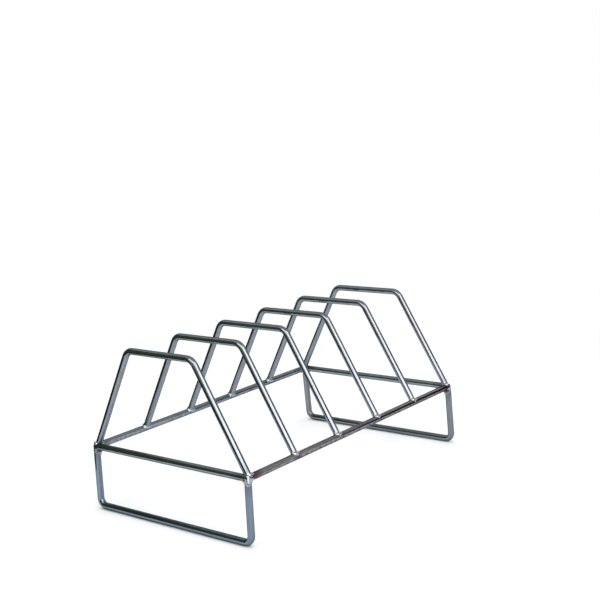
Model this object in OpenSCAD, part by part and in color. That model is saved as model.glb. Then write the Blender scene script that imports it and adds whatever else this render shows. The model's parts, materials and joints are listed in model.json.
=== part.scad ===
// Wire plate rack. Upright hoops on a low welded frame hold plates on edge.
// X runs along the rack, Y across it and Z up from the table.
// The origin is on the table, under the middle of the rack.

/* [Frame] */
// Diameter of the wire in the rails, crossbars and leg loops
frame_wire_d = 4.9; // [4:0.1:6]
// Distance between the centres of the two rails
rail_spacing = 145; // [120:1:180]
// Height of the rail centres above the table
rail_height = 46; // [30:1:70]
// How far the foot of a leg loop stands out beyond its top
leg_splay = 1.5; // [0:0.5:6]
// Bend radius of the leg loops, to the centre of the wire
leg_bend_r = 5.5; // [4:0.5:12]
// Chamfer round the top ends of the leg loops, ground so that the legs run on into the hoops
end_chamfer = 1.4; // [0.6:0.1:2]

/* [Hoops] */
// Diameter of the hoop wire
hoop_wire_d = 4.7; // [3.5:0.1:4.8]
// Number of hoops, one more than the number of plate slots
hoop_count = 6; // [3:1:9]
// Distance from one hoop to the next
hoop_pitch = 46.5; // [30:0.5:60]
// Distance from the centre of an end crossbar to the nearest hoop
hoop_inset = 1.5; // [1:0.5:6]
// Height of the centre of a hoop's top bar above the rail centres
hoop_rise = 73.5; // [50:0.5:100]
// Width of a hoop's top bar, measured to where the lines of its legs cross it
hoop_top_w = 61.5; // [45:0.5:90]
// Bend radius of the hoops, to the centre of the wire
hoop_bend_r = 8; // [5:0.5:12]

/* [Welds] */
// Radius of the hollow fillet between a hoop's foot and its rail
foot_fillet_r = 1.8; // [1:0.1:3]
// How far the weld at a hoop's foot bulges past the side of the wire
foot_bulge = 0.5; // [0.3:0.1:0.8]
// Radius of the hollow fillets between the wires that meet in a corner
corner_fillet_r = 2.5; // [1:0.1:3]
// Depth of the mouth cut in a wire's end where it saddles the wire it is welded to
cope_depth = 1; // [0.5:0.1:1.4]

/* [Hidden] */
$fn = 64;
frame_r = frame_wire_d / 2;
hoop_r = hoop_wire_d / 2;
rail_y = rail_spacing / 2;
hoop_1_x = -(hoop_count - 1) * hoop_pitch / 2;
end_x = hoop_inset - hoop_1_x;
// Lean of the hoop legs from upright, across the rack
hoop_lean = atan2(rail_y - hoop_top_w / 2, hoop_rise);
// Lean of the leg loops from upright, along the rack, and their height along that lean
leg_drop = rail_height - frame_r;
leg_lean = atan2(leg_splay, leg_drop);
leg_length = norm([leg_splay, leg_drop]);
// A leg loop ends this far below the top of the rails
leg_top_drop = 0.3;
// The wire draws thinner by this much in a bend
bend_thinning = 0.02;
// A straight runs on this far into its bend
bend_lap = 0.2;
// A weld lies this far inside a wire's surface where it runs out along that wire
weld_bite = 0.05;
// The weld bulge at a foot is a ball centred this far up the leg from the rail's centre
foot_ball_rise = 1.2;
// The ball that fills a corner is centred this far in from each of the three wires, and is this much bigger round
corner_ball_in = 1.2;
corner_ball_extra = 0.2;
wire_color = [0.62, 0.66, 0.71];
weld_color = [0.70, 0.73, 0.77];
hoops = [1:hoop_count];

function hoop_x(i) = hoop_1_x + (i - 1) * hoop_pitch;
// End of the rack that hoop i is nearer to: -1 for front and 1 for rear
function hoop_end(i) = hoop_x(i) < 0 ? -1 : 1;
// Ways along the rail from hoop i, 1 towards the rear and -1 towards the front, in which the rail goes on
function rail_ways(i) = i == 1 ? [1] : i == hoop_count ? [-1] : [-1, 1];
function heading(a, b) = (b - a) / norm(b - a);
function turn(a, b, c) = acos(heading(a, b) * heading(b, c));
// Distance from corner b of the path a, b, c to the start of its bend
function setback(a, b, c, r) = r * tan(turn(a, b, c) / 2);

// Straight wire between two points of the XY plane
module straight(from, to, d) {
    along = to - from;
    translate(from)
        rotate([90, 0, atan2(along.y, along.x) + 90])
            cylinder(d = d, h = norm(along));
}

// Bent stretch of wire in corner b of the path a, b, c, in the XY plane
module bend(a, b, c, r, d) {
    from = b - setback(a, b, c, r) * heading(a, b);
    side = sign(cross(heading(a, b), heading(b, c)));
    centre = from + side * r * [-heading(a, b).y, heading(a, b).x];
    first = atan2(from.y - centre.y, from.x - centre.x);
    translate(centre)
        rotate(side > 0 ? first : first - turn(a, b, c))
            rotate_extrude(angle = turn(a, b, c))
                translate([r, 0])
                    circle(d = d - bend_thinning);
}

// Wire bent to a path of points in the XY plane, with the same radius in every corner
module bent_wire(path, r, d) {
    last = len(path) - 1;
    for (i = [0:last - 1]) {
        dir = heading(path[i], path[i + 1]);
        cut_start = i == 0 ? 0 : setback(path[i - 1], path[i], path[i + 1], r) - bend_lap;
        cut_end = i == last - 1 ? 0 : setback(path[i], path[i + 1], path[i + 2], r) - bend_lap;
        straight(path[i] + cut_start * dir, path[i + 1] - cut_end * dir, d);
    }
    for (i = [1:last - 1])
        bend(path[i - 1], path[i], path[i + 1], r, d);
}

// Turns the XY plane to stand across the rack, with Y up
module stand_across(x) {
    translate([x, 0, 0])
        rotate([90, 0, 90])
            children();
}

// Round web in the corner between the X axis and an arm at some angle to it.
// It leaves a hollow fillet of radius r.
module web(angle, r, d) {
    bend([cos(angle), sin(angle)], [0, 0], [1, 0], r + d / 2, d);
}

// Rail wire before the mouths are cut in its ends: side is 1 for left and -1 for right
module rail_rod(side) {
    half_length = end_x - frame_r + cope_depth;
    translate([-half_length, side * rail_y, rail_height])
        rotate([0, 90, 0])
            cylinder(r = frame_r, h = 2 * half_length);
}

module rail(side) {
    color(wire_color)
        difference() {
            rail_rod(side);
            leg_loop_rod(-1);
            leg_loop_rod(1);
            crossbar_rod(-1);
            crossbar_rod(1);
        }
}

// Crossbar wire before the mouths are cut in its ends: end is -1 for front and 1 for rear
module crossbar_rod(end) {
    half_length = rail_y - frame_r + cope_depth;
    translate([end * end_x, half_length, rail_height])
        rotate([90, 0, 0])
            cylinder(r = frame_r, h = 2 * half_length);
}

module crossbar(end) {
    color(wire_color)
        difference() {
            crossbar_rod(end);
            leg_loop_rod(end);
        }
}

// Leg loop wire at one end, from one corner down, along the table and up to the other corner
module leg_loop_rod(end) {
    shoulder = frame_r - leg_top_drop - end_chamfer;
    translate([end * end_x, 0, rail_height])
        rotate([0, -end * leg_lean, 0])
            stand_across(0) {
                bent_wire([[-rail_y, shoulder], [-rail_y, -leg_length], [rail_y, -leg_length], [rail_y, shoulder]],
                    leg_bend_r, frame_wire_d);
                for (side = [-1, 1])
                    translate([side * rail_y, shoulder])
                        rotate([-90, 0, 0])
                            cylinder(r1 = frame_r, r2 = frame_r - end_chamfer, h = end_chamfer);
            }
}

module leg_loop(end) {
    color(wire_color)
        leg_loop_rod(end);
}

// Hoop wire, with its feet still running to the rail centres
module hoop_rod(i) {
    top = rail_height + hoop_rise;
    stand_across(hoop_x(i))
        bent_wire([[-rail_y, rail_height], [-hoop_top_w / 2, top], [hoop_top_w / 2, top], [rail_y, rail_height]],
            hoop_bend_r, hoop_wire_d);
}

module hoop(i) {
    color(wire_color)
        difference() {
            hoop_rod(i);
            rail_rod(-1);
            rail_rod(1);
            crossbar_rod(hoop_end(i));
            leg_loop_rod(hoop_end(i));
        }
}

// Cuts raw weld metal back to the wires of one end and of hoop i, one wire after another
module clear_of_wires(end, i) {
    difference() {
        difference() {
            difference() {
                difference() {
                    children();
                    hoop_rod(i);
                }
                crossbar_rod(end);
            }
            rail_rod(-1);
            rail_rod(1);
        }
        leg_loop_rod(end);
    }
}

// Places its children at both feet of hoop i, with Z up along the leg of the hoop
module at_feet(i) {
    for (side = [-1, 1])
        translate([hoop_x(i), side * rail_y, rail_height])
            rotate([side * hoop_lean, 0, 0])
                children();
}

// Raw ball of weld metal round a hoop's foot
module foot_ball() {
    translate([0, 0, foot_ball_rise])
        sphere(r = hoop_r + foot_bulge);
}

// Raw web of weld metal between a hoop's leg and the rail: way is 1 towards the rear, -1 towards the front
module foot_web(way) {
    mirror([way < 0 ? 1 : 0, 0, 0])
        rotate([90, 0, 0])
            translate([0, frame_r - hoop_r])
                web(90, foot_fillet_r, hoop_wire_d - 2 * weld_bite);
}

module hoop_welds(i) {
    color(weld_color) {
        clear_of_wires(hoop_end(i), i)
            at_feet(i)
                foot_ball();
        for (way = rail_ways(i))
            clear_of_wires(hoop_end(i), i)
                at_feet(i)
                    foot_web(way);
    }
}

// Places its children in both corners of one end, with X and Y inwards along the wires there
module at_corners(end) {
    for (side = [-1, 1])
        translate([end * end_x, side * rail_y, rail_height])
            mirror([end > 0 ? 1 : 0, 0, 0])
                mirror([0, side > 0 ? 1 : 0, 0])
                    children();
}

// Raw web of weld metal in a corner, between the rail and the crossbar
module flat_web() {
    web(90, corner_fillet_r, frame_wire_d - 2 * weld_bite);
}

// Raw web of weld metal in a corner, between the rail and the leg
module rail_leg_web() {
    rotate([-90, 0, 0])
        web(90 + leg_lean, corner_fillet_r, frame_wire_d - 2 * weld_bite);
}

// Raw web of weld metal in a corner, between the crossbar and the leg
module crossbar_leg_web() {
    rotate([0, leg_lean, 0])
        rotate([-90, 0, 90])
            web(90, corner_fillet_r, frame_wire_d - 2 * weld_bite);
}

module corner_welds(end) {
    i = end < 0 ? 1 : hoop_count;
    color(weld_color)
        difference() {
            union() {
                clear_of_wires(end, i)
                    at_corners(end)
                        translate([corner_ball_in, corner_ball_in, -corner_ball_in])
                            sphere(r = frame_r + corner_ball_extra);
                clear_of_wires(end, i)
                    at_corners(end)
                        flat_web();
                clear_of_wires(end, i)
                    at_corners(end)
                        rail_leg_web();
                clear_of_wires(end, i)
                    at_corners(end)
                        crossbar_leg_web();
            }
            hoop_welds(i);
        }
}

rail(1);  // left_rail
rail(-1);  // right_rail
crossbar(-1);  // front_crossbar
crossbar(1);  // rear_crossbar
leg_loop(-1);  // front_leg_loop
leg_loop(1);  // rear_leg_loop
for (i = hoops)
    hoop(i);
for (i = hoops)
    hoop_welds(i);
corner_welds(-1);  // front_corner_welds
corner_welds(1);  // rear_corner_welds
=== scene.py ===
import json
import math

import bpy
import numpy as np
from mathutils import Matrix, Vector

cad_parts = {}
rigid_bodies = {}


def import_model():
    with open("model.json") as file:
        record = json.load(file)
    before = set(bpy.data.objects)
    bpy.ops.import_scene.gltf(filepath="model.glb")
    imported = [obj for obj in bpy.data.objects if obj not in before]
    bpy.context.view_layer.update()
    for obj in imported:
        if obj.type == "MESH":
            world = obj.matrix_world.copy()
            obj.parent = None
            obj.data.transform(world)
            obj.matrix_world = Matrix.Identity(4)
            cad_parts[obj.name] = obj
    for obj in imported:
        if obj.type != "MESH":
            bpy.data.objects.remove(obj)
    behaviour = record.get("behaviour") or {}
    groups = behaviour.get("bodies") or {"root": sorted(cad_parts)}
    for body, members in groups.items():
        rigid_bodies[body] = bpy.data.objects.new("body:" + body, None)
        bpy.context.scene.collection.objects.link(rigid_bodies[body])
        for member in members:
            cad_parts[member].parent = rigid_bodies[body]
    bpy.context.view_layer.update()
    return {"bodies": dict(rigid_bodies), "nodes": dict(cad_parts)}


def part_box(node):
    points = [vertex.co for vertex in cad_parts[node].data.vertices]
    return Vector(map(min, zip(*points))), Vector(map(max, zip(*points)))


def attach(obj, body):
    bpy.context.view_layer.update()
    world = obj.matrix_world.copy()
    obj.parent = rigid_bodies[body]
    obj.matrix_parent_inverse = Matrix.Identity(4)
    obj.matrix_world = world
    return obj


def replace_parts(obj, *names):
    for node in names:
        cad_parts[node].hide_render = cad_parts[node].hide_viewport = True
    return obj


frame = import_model()
mm = 0.001  # lengths are written in millimetres and stored in metres
ends = (("front", -1), ("rear", 1))  # along X, the front end nearest the camera
sides = (("Left", 1), ("Right", -1))  # along Y
print("rack: packed model loaded,", len(frame["nodes"]), "nodes")


def linearColour(hexCode):
    # Each sRGB channel c becomes c / 12.92 where it is dark, and elsewhere
    # ((c + 0.055) / 1.055) to the power 2.4
    channels = np.array([int(hexCode[i:i + 2], 16) for i in (1, 3, 5)]) / 255
    linear = np.where(channels <= 0.04045, channels / 12.92, ((channels + 0.055) / 1.055) ** 2.4)
    return (*linear.tolist(), 1.0)


def addNode(tree, kind, settings=None, links=None):
    # A key that names or numbers an input sets that input, and any other key sets the node itself
    node = tree.nodes.new(kind)
    for key, value in (settings or {}).items():
        if isinstance(key, int) or key in node.inputs:
            node.inputs[key].default_value = value
        else:
            setattr(node, key, value)
    for key, source in (links or {}).items():
        tree.links.new(source, node.inputs[key])
    return node


def emptyMaterial(name):
    material = bpy.data.materials.new(name)
    material.use_nodes = True
    material.node_tree.nodes.clear()
    return material


def addObject(name, data):
    added = bpy.data.objects.new(name, data)
    bpy.context.scene.collection.objects.link(added)
    return added


def unit(vectors):
    # Each vector divided by its own length
    vectors = np.asarray(vectors, float)
    return vectors / np.linalg.norm(vectors, axis=-1, keepdims=True)


def easeStep(value, low, high):
    # Rises from 0 at low to 1 at high along 3t^2 - 2t^3
    t = np.clip((value - low) / (high - low), 0, 1)
    return t * t * (3 - 2 * t)


# Camera, fitted to the photograph

camera = {
    "place": (-0.63644, -0.56613, 0.29666),  # metres
    "azimuth": -49.759,  # degrees about Z, from a view along +Y
    "elevation": 10.934,  # degrees that it looks down
    "roll": -4.372,  # degrees about its own line of sight
    "lens": 70.810,  # mm
    "sensorWidth": 36,
}

cameraData = bpy.data.cameras.new("camera")
cameraData.lens = camera["lens"]
cameraData.sensor_width = camera["sensorWidth"]
cameraObject = addObject("camera", cameraData)
cameraObject.matrix_world = (
    Matrix.Translation(camera["place"])
    @ Matrix.Rotation(math.radians(camera["azimuth"]), 4, "Z")
    @ Matrix.Rotation(math.radians(90 - camera["elevation"]), 4, "X")
    @ Matrix.Rotation(math.radians(camera["roll"]), 4, "Z")
)
bpy.context.scene.camera = cameraObject
bpy.context.scene.view_settings.view_transform = "Standard"
print("rack: camera placed")


# Sizes that every piece shares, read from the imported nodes, in millimetres

def boxOf(node):
    low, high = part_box(node)
    return np.array(low) / mm, np.array(high) / mm


def middleOf(node):
    low, high = boxOf(node)
    return (low + high) / 2


def wireRadius(node, axis):
    # Half the node's width along an axis that its wire lies square to, to the nearest 0.01 mm
    low, high = boxOf(node)
    return round((high[axis] - low[axis]) / 2, 2)


railY = middleOf("left_rail")[1]
railZ = middleOf("left_rail")[2]
endX = middleOf("rear_crossbar")[0]
frameRadius = wireRadius("rear_crossbar", 0)
hoopRadius = wireRadius("hoop_2", 0)
hoopCount = sum(1 for name in frame["nodes"] if name.startswith("hoop_") and name[5:].isdigit())
hoopX = [middleOf(f"hoop_{i}")[0] for i in range(1, hoopCount + 1)]


# Surfaces

sharpAngle = 38  # degrees; a sharper edge, as where a wire is cut off, isn't smoothed


def closedSurface(name, rings, startPole, endPole, marks):
    # A grid of rings joined side by side, with a fan of triangles to a pole at each end
    ringCount, around = rings.shape[:2]
    ring = np.arange(ringCount - 1)[:, None] * around
    step = np.arange(around)
    after = (step + 1) % around
    quads = np.stack([ring + step, ring + after, ring + around + after, ring + around + step], -1)
    quads = quads.reshape(-1, 4)
    startIndex = ringCount * around
    last = startIndex - around
    startFan = np.stack([np.full(around, startIndex), after, step], -1)
    endFan = np.stack([np.full(around, startIndex + 1), last + step, last + after], -1)
    points = np.vstack([rings.reshape(-1, 3), [startPole], [endPole]])
    mesh = bpy.data.meshes.new(name)
    mesh.from_pydata((points * mm).tolist(), [], quads.tolist() + startFan.tolist() + endFan.tolist())
    for markName, (kind, values) in marks.items():
        field = "vector" if kind == "FLOAT_VECTOR" else "value"
        mesh.attributes.new(markName, kind, "POINT").data.foreach_set(field, np.ravel(values))
    mesh.shade_smooth()
    mesh.set_sharp_from_angle(angle=math.radians(sharpAngle))
    return addObject(name, mesh)


def bentPath(corners, bendRadius, straightStep, bendStep):
    # Straight between corners, and in each inner corner an arc of the bend radius, which starts
    # radius * tan(turn / 2) before the corner: start + radius * (side * (1 - cos(a)) + heading * sin(a)).
    # Returns places, headings, and how far each place is bent: 0 on a straight, 1 in mid-bend.
    corners = np.array(corners, float)
    headings = unit(np.diff(corners, axis=0))
    places = []
    ways = []
    bends = []
    start = corners[0]
    for i, heading in enumerate(headings):
        inner = i < len(headings) - 1
        turn = math.acos(np.clip(heading @ headings[i + 1], -1, 1)) if inner else 0
        end = corners[i + 1] - heading * bendRadius * math.tan(turn / 2)
        count = max(2, int(np.linalg.norm(end - start) / straightStep))
        t = np.linspace(0, 1, count, endpoint=not inner)[:, None]
        places.append(start + t * (end - start))
        ways.append(np.repeat(heading[None], count, 0))
        bends.append(np.zeros(count))
        if inner:
            side = unit(headings[i + 1] - (headings[i + 1] @ heading) * heading)
            angles = np.linspace(0, turn, max(3, int(turn * bendRadius / bendStep)), endpoint=False)[:, None]
            places.append(end + bendRadius * (side * (1 - np.cos(angles)) + heading * np.sin(angles)))
            ways.append(heading * np.cos(angles) + side * np.sin(angles))
            bends.append(np.sin(angles[:, 0] / turn * math.pi))
            start = end + bendRadius * (side * (1 - math.cos(turn)) + heading * math.sin(turn))
    return np.vstack(places), np.vstack(ways), np.concatenate(bends)


wireShape = {
    "sidesRound": 40,
    "straightStep": 1.5,  # mm between rings on a straight
    "bendStep": 0.35,  # mm between rings in a bend
    "flattening": 0.015,  # share of its width that a bend loses towards its centre
    "waver": 0.02,  # mm that drawn wire strays from round, over the lengths below
    "waverLengths": (37.0, 11.0),
    "shortWaver": 0.5,  # height of the short wave, against the long one's
    "phases": 7,  # places where the waves may start, picked by the wire's name
    "endRings": 6,
    "heatCore": 2.0,  # mm round the middle of a weld where its heat was full
    "cornerHeatReach": 17.0,  # mm over which the heat of a weld dulled the plating
    "footHeatReach": 6.0,
    "footHeat": 0.35,
}


def weldHeat(points):
    # 1 round the middle of a corner weld, less at a foot, easing to 0 at the reach
    feet = [(x, side * railY, railZ) for x in hoopX for side in (-1, 1)]
    corners = [(end * endX, side * railY, railZ) for end in (-1, 1) for side in (-1, 1)]
    footGap = np.linalg.norm(points[..., None, :] - np.array(feet), axis=-1).min(-1)
    cornerGap = np.linalg.norm(points[..., None, :] - np.array(corners), axis=-1).min(-1)
    core = wireShape["heatCore"]
    footHeat = wireShape["footHeat"] * (1 - easeStep(footGap, core, wireShape["footHeatReach"]))
    cornerHeat = 1 - easeStep(cornerGap, core, wireShape["cornerHeatReach"])
    return np.maximum(footHeat, cornerHeat)


def roundedEnds(places, ways, bends, endRound):
    # Rings closer and closer to each end: endRound * (1 - cos(t)) from it, and smaller by
    # endRound * (1 - sin(t)), for t from 0 to a quarter turn
    t = np.linspace(0, math.pi / 2, wireShape["endRings"] + 1)[:-1, None]
    inset = endRound * (1 - np.cos(t))
    loss = endRound * (1 - np.sin(t))
    first = int(endRound / wireShape["straightStep"]) + 1
    kept = slice(first, -first)
    places = np.vstack([places[:1] + ways[:1] * inset, places[kept],
                        (places[-1:] - ways[-1:] * inset)[::-1]])
    ways = np.vstack([np.repeat(ways[:1], len(t), 0), ways[kept], np.repeat(ways[-1:], len(t), 0)])
    bends = np.concatenate([np.zeros(len(t)), bends[kept], np.zeros(len(t))])
    losses = np.vstack([loss, np.zeros((len(bends) - 2 * len(t), 1)), loss[::-1]])
    return places, ways, bends, losses


def wirePiece(name, corners, bendRadius, radius, across, material, endRound=0):
    # A round profile carried along the bent path: place + r * (cos(a) * outwards + sin(a) * across).
    # The radius strays by two sine waves along the wire, and is a little less in the plane of a bend.
    places, ways, bends = bentPath(corners, bendRadius, wireShape["straightStep"], wireShape["bendStep"])
    losses = 0
    if endRound:
        places, ways, bends, losses = roundedEnds(places, ways, bends, endRound)
    along = np.concatenate([[0], np.cumsum(np.linalg.norm(np.diff(places, axis=0), axis=1))])
    across = unit(across)
    outwards = np.cross(across, ways)
    angles = np.linspace(0, 2 * math.pi, wireShape["sidesRound"], endpoint=False)
    longWave, shortWave = wireShape["waverLengths"]
    phase = sum(map(ord, name)) % wireShape["phases"]
    longStray = np.sin(along[:, None] / longWave * 2 * math.pi + phase + angles)
    shortStray = np.sin(along[:, None] / shortWave * 2 * math.pi - phase + 2 * angles)
    stray = longStray + wireShape["shortWaver"] * shortStray
    mostStray = 1 + wireShape["shortWaver"]
    radii = radius - wireShape["waver"] * (mostStray + stray) / 2 - losses
    inPlane = radii * (1 - wireShape["flattening"] * bends[:, None])
    rings = (places[:, None] + (np.cos(angles) * inPlane)[..., None] * outwards[:, None]
             + (np.sin(angles) * radii)[..., None] * across)
    straightened = np.stack([np.cos(angles) * radii, np.sin(angles) * radii,
                             np.broadcast_to(along[:, None], radii.shape)], -1)
    poles = np.array([[0, 0, along[0]], [0, 0, along[-1]]])
    heat = weldHeat(rings)
    marks = {
        "wirePlace": ("FLOAT_VECTOR", np.vstack([straightened.reshape(-1, 3), poles])),
        "weldHeat": ("FLOAT", np.concatenate([heat.ravel(), [heat[0, 0], heat[-1, 0]]])),
    }
    piece = closedSurface(name, rings, places[0], places[-1], marks)
    piece.data.materials.append(material)
    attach(piece, bodyName)
    return piece


# Chrome-plated drawn steel wire: a mirror gone slightly soft, with fine lines along it from the drawing
# die, a few pits, and a dull blue-grey bloom where the heat of a weld reached

wireFinish = {
    "plating": "#8c959e",
    "platingThin": "#818a93",  # where the plating is thinner, in clouds and lines
    "bloom": "#626b76",
    "bloomLeast": 0.35,  # how full the bloom is in its palest patches
    "mark": "#5a5d62",
    "markShare": 0.15,  # most that the marks across the wire darken it
    "marksOffTopForUnderShade": 0.0,  # how far these marks are cleared from its top, so that they paint shade on its underside
    "pit": "#4a4d52",
    "edgeTint": "#7d8791",
    "streakShare": 0.4,  # how far the lines along the wire colour it, against the clouds
    "roughness": 0.07,
    "roughnessLines": 0.04,
    "bloomRoughness": 0.04,
    "linePitch": 0.5,  # mm; real drawing lines are about 0.05 mm apart, too fine to show here
    "lineLength": 60.0,  # mm
    "cloudSize": 9.0,  # mm between the clouds where the plating is thicker or thinner
    "pitPitch": 3.4,  # mm
    "pitSize": 0.25,  # mm from the middle of a pit to its edge
    "pitFloor": 0.4,  # share of that which lies at full depth
    "chatterPitch": 1.1,  # mm between the faint marks that the die leaves across the wire
    "chatterWidth": 6.5,  # mm that a mark runs round it
    "chatterShare": 0.4,  # height of these marks, against the lines'
    "lineDepth": 0.0015,  # mm
    "pitDepth": 0.03,
    "waveDepth": 0.12,  # mm, over the size of a cloud
    # noise values between which each of these goes from none to full
    "toneSpread": (0.38, 0.62),
    "markSpread": (0.5, 0.62),
    "bloomSpread": (0.3, 0.65),
    "glossSpread": (0.3, 0.7),
    "underShadeFacingSpread": (0.0, 0.5),  # how far up the surface faces where the marks start to clear and are fully cleared
}

# The leg loops' wire: more of its lines show, under a thinner, bluer plating
legFinish = {
    **wireFinish,
    "plating": "#7f8d9d",
    "platingThin": "#64717d",
    "linePitch": 0.9,
    "streakShare": 0.85,
}

# The rear loop's wire: the same, under a greyer plating
rearLegFinish = {
    **legFinish,
    "plating": "#868e95",
    "platingThin": "#666b71",
}

# The left rail's wire: marks across it show on its lower half, a painted shade that darkens its underside,
# and its top is left clean
leftRailFinish = {
    **wireFinish,
    "markShare": 0.6,
    "marksOffTopForUnderShade": 1.0,
}

# The right rail's wire, more roughly drawn: strong dark marks across it, kept mostly to its lower half as
# painted shade, and a maroon bloom at its ends
rightRailFinish = {
    **wireFinish,
    "marksOffTopForUnderShade": 0.8,
    "plating": "#969597",
    "platingThin": "#807f82",
    "bloom": "#5a1a36",
    "bloomLeast": 0.75,
    "mark": "#221e24",
    "markShare": 0.85,
    "chatterPitch": 0.8,
    "chatterWidth": 1.6,
    "chatterShare": 2.5,
    "lineDepth": 0.004,
}


def fromSpread(spread):
    return {"From Min": spread[0], "From Max": spread[1]}


def facingUp(tree):
    # 1 where the surface faces straight up, and -1 where it faces straight down
    normal = addNode(tree, "ShaderNodeNewGeometry").outputs["Normal"]
    return addNode(tree, "ShaderNodeSeparateXYZ", {}, {0: normal}).outputs["Z"]


def wirePatterns(tree, look):
    # Noise read from the straightened wire: lines along it, marks across it, clouds and pits
    place = addNode(tree, "ShaderNodeAttribute", {"attribute_name": "wirePlace"}).outputs["Vector"]
    lineScale = (1 / look["linePitch"], 1 / look["linePitch"], 1 / look["lineLength"])
    linePlace = addNode(tree, "ShaderNodeMapping", {"Scale": lineScale}, {"Vector": place}).outputs["Vector"]
    lines = addNode(tree, "ShaderNodeTexNoise", {"Scale": 1, "Detail": 3, "Roughness": 0.6},
                    {"Vector": linePlace}).outputs["Fac"]
    chatterScale = (1 / look["chatterWidth"], 1 / look["chatterWidth"], 1 / look["chatterPitch"])
    chatterPlace = addNode(tree, "ShaderNodeMapping", {"Scale": chatterScale},
                           {"Vector": place}).outputs["Vector"]
    chatter = addNode(tree, "ShaderNodeTexNoise", {"Scale": 1, "Detail": 2, "Roughness": 0.55},
                      {"Vector": chatterPlace}).outputs["Fac"]
    cloud = addNode(tree, "ShaderNodeTexNoise",
                    {"Scale": 1 / look["cloudSize"], "Detail": 4, "Roughness": 0.6},
                    {"Vector": place}).outputs["Fac"]
    pitGap = addNode(tree, "ShaderNodeTexVoronoi", {"Scale": 1 / look["pitPitch"], "Randomness": 1.0},
                     {"Vector": place}).outputs["Distance"]
    pitEdge = look["pitSize"] / look["pitPitch"]
    pits = addNode(tree, "ShaderNodeMapRange",
                   {"interpolation_type": "SMOOTHSTEP", **fromSpread((look["pitFloor"] * pitEdge, pitEdge)),
                    "To Min": 1.0, "To Max": 0.0}, {"Value": pitGap}).outputs["Result"]
    return lines, chatter, cloud, pits


def wireBloom(tree, look, cloud):
    # How far the heat of the welds dulled the plating, patchy with the clouds
    heat = addNode(tree, "ShaderNodeAttribute", {"attribute_name": "weldHeat"}).outputs["Fac"]
    patches = addNode(tree, "ShaderNodeMapRange",
                      {**fromSpread(look["bloomSpread"]), "To Min": look["bloomLeast"], "To Max": 1},
                      {"Value": cloud}).outputs["Result"]
    return addNode(tree, "ShaderNodeMath", {"operation": "MULTIPLY"}, {0: heat, 1: patches}).outputs[0]


def wireColour(tree, look, lines, chatter, cloud, pits, bloom):
    # Plating in clouds and lines, and over it the marks, cleared from the top so that they paint shade on the
    # underside, then the bloom and the pits
    tone = addNode(tree, "ShaderNodeMix", {"data_type": "FLOAT", 0: look["streakShare"]},
                   {2: cloud, 3: lines}).outputs[0]
    thinness = addNode(tree, "ShaderNodeMapRange", fromSpread(look["toneSpread"]),
                       {"Value": tone}).outputs["Result"]
    plated = addNode(tree, "ShaderNodeMix",
                     {"data_type": "RGBA", 6: linearColour(look["plating"]),
                      7: linearColour(look["platingThin"])}, {0: thinness}).outputs[2]
    marks = addNode(tree, "ShaderNodeMapRange",
                    {"interpolation_type": "SMOOTHSTEP", **fromSpread(look["markSpread"]),
                     "To Max": look["markShare"]}, {"Value": chatter}).outputs["Result"]
    # Painted shade: the marks are cleared where the wire faces up, so that its underside is darker
    marksBelowAsShade = addNode(tree, "ShaderNodeMapRange",
                     {**fromSpread(look["underShadeFacingSpread"]), "To Min": 1.0, "To Max": 1 - look["marksOffTopForUnderShade"]},
                     {"Value": facingUp(tree)}).outputs["Result"]
    marksAndUnderShade = addNode(tree, "ShaderNodeMath", {"operation": "MULTIPLY"}, {0: marks, 1: marksBelowAsShade}).outputs[0]
    markedAndUnderShaded = addNode(tree, "ShaderNodeMix", {"data_type": "RGBA", 7: linearColour(look["mark"])},
                     {0: marksAndUnderShade, 6: plated}).outputs[2]
    bloomed = addNode(tree, "ShaderNodeMix", {"data_type": "RGBA", 7: linearColour(look["bloom"])},
                      {0: bloom, 6: markedAndUnderShaded}).outputs[2]
    return addNode(tree, "ShaderNodeMix", {"data_type": "RGBA", 7: linearColour(look["pit"])},
                   {0: pits, 6: bloomed}).outputs[2]


def wireRelief(tree, look, lines, chatter, cloud, pits):
    # Ridges along and across the wire, then waves as long as the clouds, then the pits
    ridges = addNode(tree, "ShaderNodeMath", {"operation": "MULTIPLY_ADD", 1: look["chatterShare"]},
                     {0: chatter, 2: lines}).outputs[0]
    lineBump = addNode(tree, "ShaderNodeBump", {"Strength": 1.0, "Distance": look["lineDepth"] * mm},
                       {"Height": ridges}).outputs["Normal"]
    waveBump = addNode(tree, "ShaderNodeBump", {"Strength": 1.0, "Distance": look["waveDepth"] * mm},
                       {"Height": cloud, "Normal": lineBump}).outputs["Normal"]
    return addNode(tree, "ShaderNodeBump",
                   {"invert": True, "Strength": 1.0, "Distance": look["pitDepth"] * mm},
                   {"Height": pits, "Normal": waveBump}).outputs["Normal"]


def makeWireMaterial(name, look):
    material = emptyMaterial(name)
    tree = material.node_tree
    lines, chatter, cloud, pits = wirePatterns(tree, look)
    bloom = wireBloom(tree, look, cloud)
    colour = wireColour(tree, look, lines, chatter, cloud, pits, bloom)
    lineGloss = addNode(tree, "ShaderNodeMapRange",
                        {**fromSpread(look["glossSpread"]), "To Min": look["roughness"],
                         "To Max": look["roughness"] + look["roughnessLines"]},
                        {"Value": lines}).outputs["Result"]
    gloss = addNode(tree, "ShaderNodeMath", {"operation": "MULTIPLY_ADD", 1: look["bloomRoughness"]},
                    {0: bloom, 2: lineGloss}).outputs[0]
    relief = wireRelief(tree, look, lines, chatter, cloud, pits)
    shader = addNode(tree, "ShaderNodeBsdfPrincipled",
                     {"Metallic": 1.0, "Specular Tint": linearColour(look["edgeTint"])},
                     {"Base Color": colour, "Roughness": gloss, "Normal": relief})
    addNode(tree, "ShaderNodeOutputMaterial", {}, {"Surface": shader.outputs["BSDF"]})
    return material


# Chrome-plated weld metal: brighter than the wire, rippled and pocked, with dark soot in pockets and a
# painted shade on its underside

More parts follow.
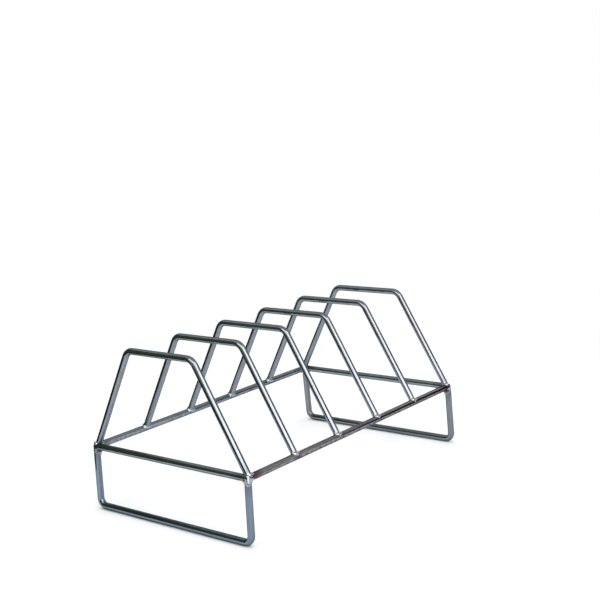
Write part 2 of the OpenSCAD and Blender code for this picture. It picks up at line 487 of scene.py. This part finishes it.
weldFinish = {
    "plating": "#a3acb4",
    # dark tone of the soot, and of the painted shade on the weld's underside
    "hollow": "#2b2d31",
    "roughness": 0.08,
    "hollowRoughness": 0.3,
    "paintedUnderShadeShare": 0.85,  # how far the weld's underside is darkened towards the soot tone, a painted shade
    "paintedUnderShadeSpread": (0.0, -0.4),  # how far up the surface faces where the painted shade starts and is full
    "sootSpread": (0.58, 0.72),  # noise values where the soot starts and is full
    "pocketSize": 1.8,  # mm between pockets of soot
    "grainSize": 1.0,  # mm between ripples
    "grainDepth": 0.012,
}


def makeWeldMaterial():
    look = weldFinish
    material = emptyMaterial("chromePlatedWeldMetal")
    tree = material.node_tree
    place = addNode(tree, "ShaderNodeTexCoord").outputs["Object"]
    grain = addNode(tree, "ShaderNodeTexNoise",
                    {"Scale": 1 / (look["grainSize"] * mm), "Detail": 4, "Roughness": 0.6},
                    {"Vector": place}).outputs["Fac"]
    pockets = addNode(tree, "ShaderNodeTexNoise", {"Scale": 1 / (look["pocketSize"] * mm), "Detail": 3},
                      {"Vector": place}).outputs["Fac"]
    soot = addNode(tree, "ShaderNodeMapRange",
                   {"interpolation_type": "SMOOTHSTEP", **fromSpread(look["sootSpread"])},
                   {"Value": pockets}).outputs["Result"]
    # Painted shade: the weld is darkened where it faces down
    paintedUnderShade = addNode(tree, "ShaderNodeMapRange",
                    {"interpolation_type": "SMOOTHSTEP", **fromSpread(look["paintedUnderShadeSpread"]),
                     "To Max": look["paintedUnderShadeShare"]}, {"Value": facingUp(tree)}).outputs["Result"]
    sootAndUnderShade = addNode(tree, "ShaderNodeMath", {"operation": "MAXIMUM"}, {0: soot, 1: paintedUnderShade}).outputs[0]
    colour = addNode(tree, "ShaderNodeMix",
                     {"data_type": "RGBA", 6: linearColour(look["plating"]), 7: linearColour(look["hollow"])},
                     {0: sootAndUnderShade}).outputs[2]
    gloss = addNode(tree, "ShaderNodeMapRange",
                    {"To Min": look["roughness"], "To Max": look["hollowRoughness"]},
                    {"Value": sootAndUnderShade}).outputs["Result"]
    bump = addNode(tree, "ShaderNodeBump", {"Strength": 1.0, "Distance": look["grainDepth"] * mm},
                   {"Height": grain}).outputs["Normal"]
    shader = addNode(tree, "ShaderNodeBsdfPrincipled", {"Metallic": 1.0},
                     {"Base Color": colour, "Roughness": gloss, "Normal": bump})
    addNode(tree, "ShaderNodeOutputMaterial", {}, {"Surface": shader.outputs["BSDF"]})
    return material


bodyName = list(frame["bodies"])[0]  # nothing on the rack moves, so it has one body
wireMaterial = makeWireMaterial("chromePlatedDrawnWire", wireFinish)
legMaterials = {
    "front": makeWireMaterial("chromePlatedLegWire", legFinish),
    "rear": makeWireMaterial("greyChromePlatedLegWire", rearLegFinish),
}
leftRailMaterial = makeWireMaterial("chromePlatedWornRailWire", leftRailFinish)
rightRailMaterial = makeWireMaterial("chromePlatedRoughDrawnWire", rightRailFinish)
weldMaterial = makeWeldMaterial()
print("rack: wire and weld materials made")


# Rails

rail = {
    "shortOfLeg": 0.6,  # mm from each end to the middle of the leg that it saddles
}


def makeRail(sideName, side, material):
    half = endX - rail["shortOfLeg"]
    piece = wirePiece(f"{sideName}RailWire", [(-half, side * railY, railZ), (half, side * railY, railZ)], 0,
                      frameRadius, (0, 0, 1), material)
    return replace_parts(piece, f"{sideName}_rail")


# Crossbars

crossbar = {
    "shortOfLeg": 0.6,  # mm, as for the rails
}


def makeCrossbar(endName, end):
    half = railY - crossbar["shortOfLeg"]
    piece = wirePiece(f"{endName}CrossbarWire", [(end * endX, -half, railZ), (end * endX, half, railZ)], 0,
                      frameRadius, (0, 0, 1), wireMaterial)
    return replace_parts(piece, f"{endName}_crossbar")


# Leg loops

legLoop = {
    "bendRadius": 5.5,  # mm, at the middle of the wire
    "endRound": 2.2,  # mm, radius ground on the top ends
    "endDrop": 1.4,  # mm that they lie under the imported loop's
}
loopBox = boxOf("rear_leg_loop")
footX = loopBox[1][0] - frameRadius
legDown = unit([footX - endX, 0, frameRadius - railZ])  # along a rear leg, from its top to the table


def makeLegLoop(endName, end):
    # The loop leans outwards about the middle of its corner, and its ends stop just under the rails' tops
    top = np.array([endX, 0, railZ]) + legDown * (loopBox[1][2] - legLoop["endDrop"] - railZ) / legDown[2]
    corners = np.array([(top[0], -railY, top[2]), (footX, -railY, frameRadius),
                        (footX, railY, frameRadius), (top[0], railY, top[2])]) * (end, 1, 1)
    across = np.cross((0, 1, 0), legDown * (end, 1, 1))
    piece = wirePiece(f"{endName}LegLoopWire", corners, legLoop["bendRadius"], frameRadius, across,
                      legMaterials[endName], legLoop["endRound"])
    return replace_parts(piece, f"{endName}_leg_loop")


# Hoops

hoop = {
    "topWidth": 61.5,  # mm between the corners that its straights would meet in
    "bendRadius": 8.0,
}


def makeHoop(i):
    topZ = boxOf(f"hoop_{i}")[1][2] - hoopRadius
    x = hoopX[i - 1]
    halfTop = hoop["topWidth"] / 2
    corners = [(x, -railY, railZ), (x, -halfTop, topZ), (x, halfTop, topZ), (x, railY, railZ)]
    piece = wirePiece(f"hoop{i}Wire", corners, hoop["bendRadius"], hoopRadius, (1, 0, 0),
                      wireMaterial)
    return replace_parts(piece, f"hoop_{i}")


wires = [makeRail("left", 1, leftRailMaterial), makeRail("right", -1, rightRailMaterial)]
for endName, end in ends:
    wires += [makeCrossbar(endName, end), makeLegLoop(endName, end)]
wires += [makeHoop(i) for i in range(1, hoopCount + 1)]
print("rack: wires made,", len(wires))


# Welds

weld = {
    "rings": 96,
    "sidesRound": 128,
    "bite": 0.05,  # mm that weld metal lies inside a wire where it runs out along it
    "footFillet": 2.1,  # mm, as the next ones
    "cornerFillet": 3.0,
    "filletReach": 1.5,  # fillets from a wire's surface to where none of its weld metal is left
    "wireStart": 1.5,  # mm along a wire that ends in the weld before its fillets are full
    "footBall": (1.2, 0.3),  # mm up the leg, and beyond the radius of the wire
    "cornerBall": (0.9, 0.1),  # mm in from each wire, and beyond the radius of the wire
    # Run of weld metal down the outside of a corner: mm outwards along X and Y, up, and radius
    "longRun": [(0.67, 0.67, 1.0, 1.45), (0.85, 0.85, -0.1, 1.45), (1.0, 1.0, -1.2, 1.45),
                (1.15, 1.15, -2.3, 1.4), (1.05, 1.05, -3.6, 1.3)],
    "shortRun": [(1.3, -0.4, -3.4, 1.35)],
    "topDrop": (0.7, -0.3, 2.2, 1.5),  # at the foot of the hoop over the left front corner
    "beadBlend": 0.5,  # mm over which a ball of weld metal flows into the rest
    "footReach": 5.6,  # mm
    "cornerReach": 7.0,
    "lumpSize": 2.6,  # mm
    "lumpHeight": 0.06,
    "lumpFade": 0.3,  # mm from a ball to where the lumps end
    "waves": 12,
    "waveSpread": (0.7, 1.6),  # shortest and longest wave, against the lump size
    "halvings": 18,  # 7 mm halved so often is far finer than the mesh
    "cornerSeed": 200,  # corners and feet draw their lumps from different seeds
}
outerSides = (loopBox[0][1], loopBox[1][1])  # weld metal stands out no further along Y than the leg loops
hoopTopZ = boxOf("hoop_2")[1][2] - hoopRadius


def lumps(points, seed):
    # Twice the mean of plane sine waves of random heading, length and phase
    random = np.random.default_rng(seed)
    headings = unit(random.normal(size=(weld["waves"], 3)))
    lengths = weld["lumpSize"] * random.uniform(*weld["waveSpread"], weld["waves"])
    phases = random.uniform(0, 2 * math.pi, weld["waves"])
    return np.sin(points @ (headings / lengths[:, None]).T * 2 * math.pi + phases).mean(-1) * 2


def rodGap(points, rod):
    # Distance to a rod's surface, |point - start - heading * along| - radius, and how far along it the
    # point lies. A rod that runs both ways through the weld has no start, so all of it counts as past one.
    start, heading, radius, oneWay = rod
    along = (points - start) @ heading
    held = np.maximum(along, 0) if oneWay else along
    gap = np.linalg.norm(points - start - held[..., None] * heading, axis=-1) - radius
    return gap, along if oneWay else np.full_like(along, weld["wireStart"])


def weldGap(points, rods, balls, fillet, seed):
    # Least distance to the rods and the balls. Where two surfaces a and b make an inner corner, the gap
    # drops by (fillet - |a - b|)^2 / (4 * fillet), and by the lumps, which are on the weld metal alone.
    gaps, alongs = zip(*[rodGap(points, rod) for rod in rods])
    least = np.min(gaps, axis=0)
    ballGap = np.min([np.linalg.norm(points - place, axis=-1) - radius for place, radius in balls], axis=0)
    blend = weld["beadBlend"]
    least = np.minimum(least, ballGap) - np.maximum(blend - np.abs(least - ballGap), 0) ** 2 / (4 * blend)
    filled = np.zeros_like(least)
    started = [easeStep(along, 0, weld["wireStart"]) for along in alongs]
    for a in range(len(rods)):
        for b in range(a):
            close = np.maximum(fillet - np.abs(gaps[a] - gaps[b]), 0) ** 2 / (4 * fillet)
            nearby = np.maximum(gaps[a], gaps[b]) < fillet * weld["filletReach"]
            filled += close * started[a] * started[b] * nearby
    share = np.clip(filled * 4 / fillet + easeStep(least - ballGap, -weld["lumpFade"], 0), 0, 1)
    return least - filled - weld["lumpHeight"] * share * lumps(points, seed)


def weldPiece(name, centre, rods, balls, fillet, reach, seed):
    # Radial form about the X axis: centre + distance * heading, each heading being
    # (-cos(p), sin(p) * cos(a), sin(p) * sin(a)). Halving finds the distance where the weld gap is zero.
    # Where a wire leads out of the weld it stops at the reach, hidden inside that wire.
    polar = np.linspace(0, math.pi, weld["rings"] + 2)[1:-1, None]
    around = np.linspace(0, 2 * math.pi, weld["sidesRound"], endpoint=False)
    headings = np.stack([-np.cos(polar) * np.ones_like(around), np.sin(polar) * np.cos(around),
                         np.sin(polar) * np.sin(around)], -1)
    headings = np.vstack([headings.reshape(-1, 3), [(-1, 0, 0)], [(1, 0, 0)]])
    low = np.zeros(len(headings))
    high = np.full(len(headings), reach)
    for halving in range(weld["halvings"]):
        middle = (low + high) / 2
        inside = weldGap(centre + headings * middle[:, None], rods, balls, fillet, seed) < 0
        low = np.where(inside, middle, low)
        high = np.where(inside, high, middle)
    points = centre + headings * low[:, None]
    points[:, 1] = np.clip(points[:, 1], *outerSides)
    rings = points[:-2].reshape(weld["rings"], weld["sidesRound"], 3)
    piece = closedSurface(name, rings, points[-2], points[-1], {})
    piece.data.materials.append(weldMaterial)
    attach(piece, bodyName)
    return piece


def hoopLeg(x, side):
    # The rod of a hoop's leg, from the middle of the rail towards the hoop's top corner
    heading = unit([0, side * (hoop["topWidth"] / 2 - railY), hoopTopZ - railZ])
    return np.array([x, side * railY, railZ]), heading, hoopRadius - weld["bite"], True


def makeFootWeld(i, sideName, side):
    leg = hoopLeg(hoopX[i - 1], side)
    foot = leg[0]
    thin = frameRadius - weld["bite"]
    inwards = -np.sign(foot[0])
    atEnd = i in (1, hoopCount)  # the rail runs on from an end hoop's foot to one side alone
    railRod = (foot, np.array([inwards, 0, 0]), thin, atEnd)
    rise, proud = weld["footBall"]
    ball = (foot + rise * leg[1], hoopRadius + proud)
    seed = 10 * i + side
    return weldPiece(f"hoop{i}{sideName}Weld", foot, [leg, railRod], [ball], weld["footFillet"],
                     weld["footReach"], seed)


def makeCornerWeld(endName, end, sideName, side):
    corner = np.array([end * endX, side * railY, railZ])
    thin = frameRadius - weld["bite"]
    rods = [
        (corner, np.array([-end, 0.0, 0.0]), thin, True),
        (corner, np.array([0.0, -side, 0.0]), thin, True),
        (corner, legDown * (end, 1, 1), thin, True),
    ]
    inset, proud = weld["cornerBall"]
    balls = [(corner + inset * np.array([-end, -side, -1]), frameRadius + proud)]
    run = list(weld["longRun"] if end == side else weld["shortRun"])
    if (endName, sideName) == ("front", "Left"):
        run.append(weld["topDrop"])
    for outX, outY, up, radius in run:
        balls.append((corner + (end * outX, side * outY, up), radius))
    seed = weld["cornerSeed"] + 10 * end + side
    return weldPiece(f"{endName}{sideName}CornerWeld", corner, rods, balls, weld["cornerFillet"],
                     weld["cornerReach"], seed)


welds = []
for sideName, side in sides:
    for i in range(1, hoopCount + 1):
        welds.append(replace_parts(makeFootWeld(i, sideName, side), f"hoop_{i}_welds"))
    for endName, end in ends:
        welds.append(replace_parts(makeCornerWeld(endName, end, sideName, side), f"{endName}_corner_welds"))
print("rack: welds made,", len(welds))


# Studio: a floor of plain paper, soft boxes, and cards round the rack that only its reflections show.
# The cards stand for the room, and the white behind them is the backdrop.

studio = {
    "floor": "#f0f1f2",
    "floorHalf": 6.0,  # metres
    "floorRoughness": 0.85,
    "floorShine": 0.1,
    "nearFloor": 0.20,  # metres from the middle of the rack to where the floor starts to fade to white
    "farFloor": 0.50,
    "ambient": 0.92,  # strength of the white world as a light
    "cardColumns": 24,  # points along a card's edge
    # name, tone, strength, from and to direction in degrees from +X, radius, low and high edge in metres
    "cards": [
        # the green band on the crossbars, the tops of the hoops and the bottom bars
        ("leftCard", "#5b6745", 1, 84, 166, 0.33, 0.08, 0.34),
        ("lowLeftCard", "#38412f", 1, 40, 186, 0.33, 0.0, 0.08),
        # beyond the front end, pale above and dark below
        ("frontCard", "#b0aea6", 1, 166, 205, 0.42, 0.122, 0.30),
        ("lowFrontCard", "#34373c", 1, 166, 201, 0.42, 0.0, 0.122),
        # soft boxes off the front right corner: light on the legs, and the white streaks down the hoops
        ("frontBox", "#ffffff", 3.5, 208, 250, 0.45, 0.05, 0.26),
        ("keyBox", "#fff6ea", 3.9, 223, 282, 0.85, 0.39, 0.82),
        ("sideBox", "#fff6ea", 3.0, 150, 223, 0.85, 0.52, 0.74),
        # off the right side: light on the front of both rails, and the maroon band along the right one
        ("rightCard", "#26282c", 1, 283, 306, 0.50, 0.29, 0.50),
        ("stripBox", "#ffffff", 1.7, 300, 314.3, 1.0, 0.186, 0.48),
        ("lowStripBox", "#ffffff", 1.45, 300, 314.3, 1.0, 0.0, 0.186),
        ("farLowRightCard", "#3d1424", 1, 314.3, 324, 1.0, 0.0, 0.48),
        ("frontRailCard", "#a49099", 1, 290, 304.5, 0.49, 0.0, 0.2),
        ("lowRightCard", "#3d1424", 1, 316, 337, 0.50, 0.02, 0.27),
        ("farRightCard", "#c3c0c3", 1, 306, 345, 0.50, 0.27, 0.50),
    ],
    # name, tone, strength, from and to direction, inner and outer radius, height: on the floor, and overhead
    "levelCards": [
        ("floorCard", "#4a523c", 1, 84, 157, 0.25, 0.335, 0.0003),
        ("upperBox", "#fff6ea", 3.0, 162, 290, 0.40, 0.85, 0.74),
    ],
    # name, tone, strength, half width and height
    "ceiling": ("ceilingCard", "#d0cdc6", 1, 0.9, 0.75),
    # name, place, aim, width, height, power in watts, and whether reflections show it: for the key lamp
    # they show the boxes above
    "lamps": [
        ("keyLamp", (-0.30, -0.62, 0.58), (0, 0, 0.07), 0.46, 0.20, 1.9, False),
        ("topLamp", (0.15, 0.10, 1.30), (0, 0, 0), 1.2, 1.2, 6.0, True),
    ],
}


def seenRays(tree):
    # 1 for camera, glossy and transmission rays, and 0 for the rays that light the rack
    seen = addNode(tree, "ShaderNodeLightPath")
    either = addNode(tree, "ShaderNodeMath", {"operation": "MAXIMUM"},
                     {0: seen.outputs["Is Camera Ray"], 1: seen.outputs["Is Glossy Ray"]})
    every = addNode(tree, "ShaderNodeMath", {"operation": "MAXIMUM"},
                    {0: either.outputs[0], 1: seen.outputs["Is Transmission Ray"]})
    return every.outputs[0]


def levelSquare(name, half, height, material):
    corners = [(-half, -half, height), (half, -half, height), (half, half, height), (-half, half, height)]
    mesh = bpy.data.meshes.new(name)
    mesh.from_pydata(corners, [], [(0, 1, 2, 3)])
    mesh.materials.append(material)
    return addObject(name, mesh)


def makeFloor():
    # Matt paper. Away from the rack it fades to plain white for camera, glossy and transmission rays
    material = emptyMaterial("paleStudioPaper")
    tree = material.node_tree
    paper = addNode(tree, "ShaderNodeBsdfPrincipled",
                    {"Base Color": linearColour(studio["floor"]), "Roughness": studio["floorRoughness"],
                     "Specular IOR Level": studio["floorShine"]})
    white = addNode(tree, "ShaderNodeEmission", {"Color": (1, 1, 1, 1), "Strength": 1.0})
    place = addNode(tree, "ShaderNodeTexCoord")
    distance = addNode(tree, "ShaderNodeVectorMath", {"operation": "LENGTH"}, {0: place.outputs["Object"]})
    fade = addNode(tree, "ShaderNodeMapRange",
                   {"interpolation_type": "SMOOTHSTEP", "From Min": studio["nearFloor"],
                    "From Max": studio["farFloor"]}, {"Value": distance.outputs["Value"]})
    seen = seenRays(tree)
    share = addNode(tree, "ShaderNodeMath", {"operation": "MULTIPLY"}, {0: fade.outputs["Result"], 1: seen})
    mixed = addNode(tree, "ShaderNodeMixShader", {},
                    {0: share.outputs[0], 1: paper.outputs["BSDF"], 2: white.outputs["Emission"]})
    addNode(tree, "ShaderNodeOutputMaterial", {}, {"Surface": mixed.outputs["Shader"]})
    floor = levelSquare("floor", studio["floorHalf"], 0, material)


def cardMaterial(name, tone, strength):
    material = emptyMaterial(name)
    tree = material.node_tree
    glow = addNode(tree, "ShaderNodeEmission", {"Color": linearColour(tone), "Strength": strength})
    addNode(tree, "ShaderNodeOutputMaterial", {}, {"Surface": glow.outputs["Emission"]})
    return material


def reflectedOnly(card):
    # The card shows in reflections alone: it neither shades the rack nor stands in the picture
    card.visible_camera = False
    card.visible_diffuse = False
    card.visible_transmission = False
    card.visible_shadow = False


def makeCard(name, tone, strength, first, last, edges):
    # A strip about the rack between two edges, each at (radius * cos(a), radius * sin(a)) and its own height
    count = studio["cardColumns"]
    angles = np.radians(np.linspace(first, last, count))
    rows = [np.stack([radius * np.cos(angles), radius * np.sin(angles), np.full(count, z)], -1)
            for radius, z in edges]
    step = np.arange(count - 1)
    faces = np.stack([step, step + 1, step + count + 1, step + count], -1)
    mesh = bpy.data.meshes.new(name)
    mesh.from_pydata(np.vstack(rows).tolist(), [], faces.tolist())
    mesh.materials.append(cardMaterial(name, tone, strength))
    reflectedOnly(addObject(name, mesh))


def makeCeiling(name, tone, strength, half, height):
    reflectedOnly(levelSquare(name, half, height, cardMaterial(name, tone, strength)))


def makeLamp(name, place, aim, width, height, power, reflected):
    # Turned so that its own -Z, the way it shines, points at the aim
    data = bpy.data.lights.new(name, "AREA")
    data.shape = "RECTANGLE"
    data.size = width
    data.size_y = height
    data.energy = power
    lamp = addObject(name, data)
    ray = unit(np.array(aim) - np.array(place))
    right = unit(np.cross(ray, (0, 0, 1)))
    up = np.cross(right, ray)
    turned = np.eye(4)
    turned[:3, :3] = np.stack([right, up, -ray], -1)
    turned[:3, 3] = place
    lamp.matrix_world = Matrix(turned.tolist())
    lamp.visible_camera = False
    lamp.visible_glossy = reflected


def makeWorld():
    # White all round, a little weaker as a light than as the backdrop that is seen and reflected
    world = bpy.data.worlds.new("paleStudio")
    bpy.context.scene.world = world
    world.use_nodes = True
    tree = world.node_tree
    tree.nodes.clear()
    light = addNode(tree, "ShaderNodeBackground", {"Color": (1, 1, 1, 1), "Strength": studio["ambient"]})
    backdrop = addNode(tree, "ShaderNodeBackground", {"Color": (1, 1, 1, 1), "Strength": 1.0})
    seen = seenRays(tree)
    mixed = addNode(tree, "ShaderNodeMixShader", {},
                    {0: seen, 1: light.outputs["Background"], 2: backdrop.outputs["Background"]})
    addNode(tree, "ShaderNodeOutputWorld", {}, {"Surface": mixed.outputs["Shader"]})


makeFloor()
makeWorld()
for name, tone, strength, first, last, radius, low, high in studio["cards"]:
    makeCard(name, tone, strength, first, last, [(radius, low), (radius, high)])
for name, tone, strength, first, last, inner, outer, height in studio["levelCards"]:
    makeCard(name, tone, strength, first, last, [(inner, height), (outer, height)])
makeCeiling(*studio["ceiling"])
for lamp in studio["lamps"]:
    makeLamp(*lamp)
print("rack: studio made")
